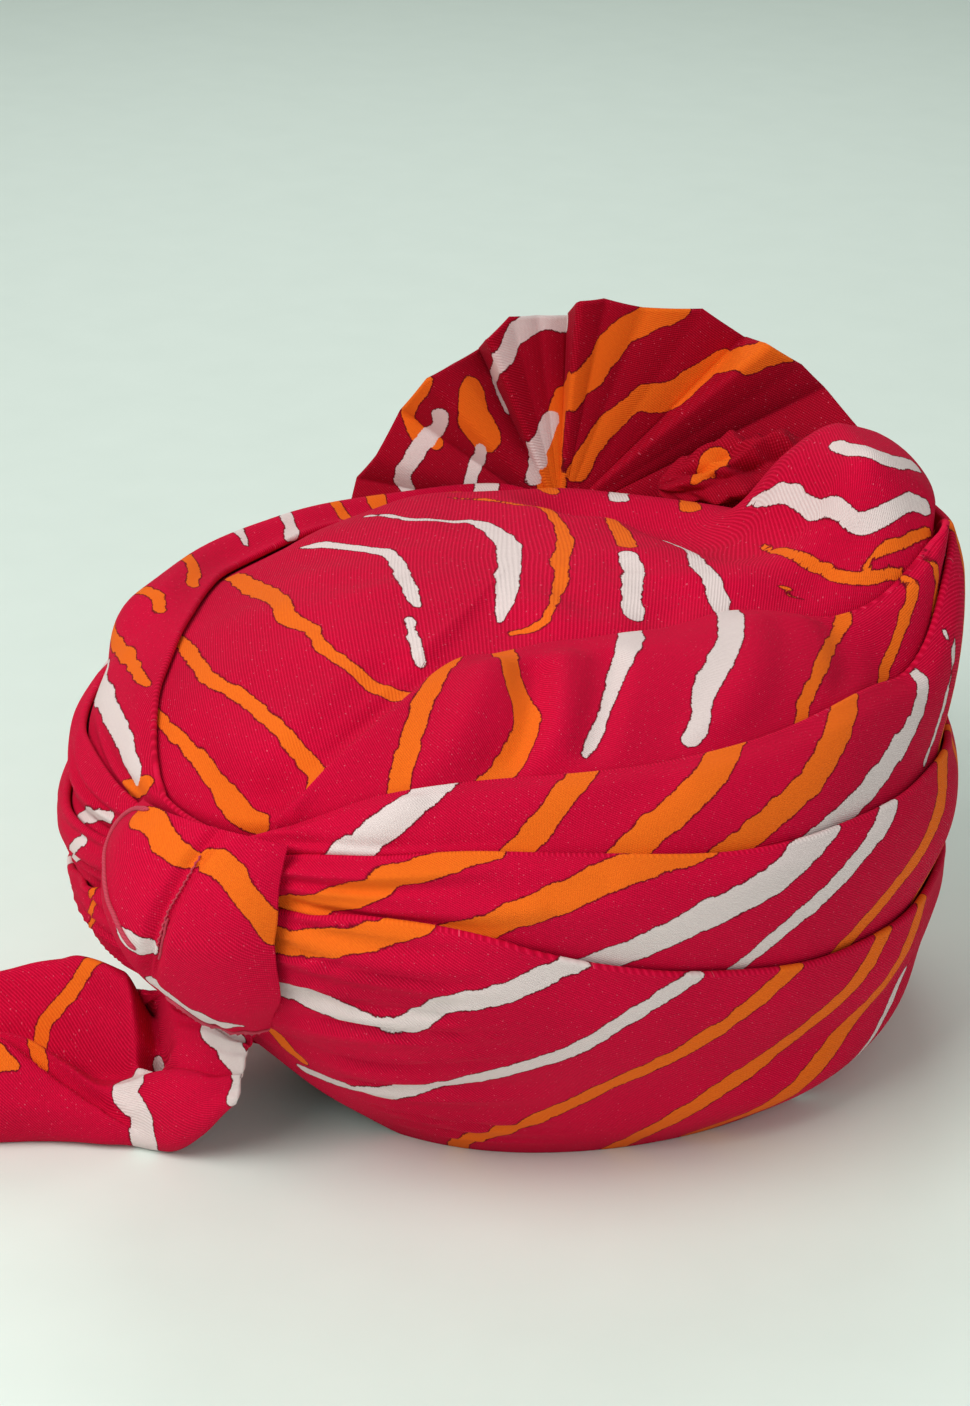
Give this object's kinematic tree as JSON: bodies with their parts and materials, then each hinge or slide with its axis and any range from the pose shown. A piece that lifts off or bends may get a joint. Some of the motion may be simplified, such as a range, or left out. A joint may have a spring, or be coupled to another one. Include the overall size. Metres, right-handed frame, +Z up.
{
  "type": "tied turban",
  "caption": "Ready-tied cotton turban of overlapping diagonal wraps, with a knot and a short tail at the back and a pleated fan at the front left.",
  "frame": {"origin": "middle of the head opening, on the surface that the rim stands on", "axes": "+Z up, +Y towards the wearer's front, +X towards the wearer's right"},
  "size_m": [0.2748, 0.3949, 0.2116],
  "materials": {
    "printed_cotton": "crimson twill printed with orange and white waves"
  },
  "bodies": {
    "root": {"crown": "printed_cotton", "top_wrap": "printed_cotton", "upper_wrap": "printed_cotton", "middle_wrap": "printed_cotton", "lower_wrap": "printed_cotton", "knot": "printed_cotton", "tail": "printed_cotton", "fan": "printed_cotton", "fan_foot": "printed_cotton"}
  },
  "joints": []
}
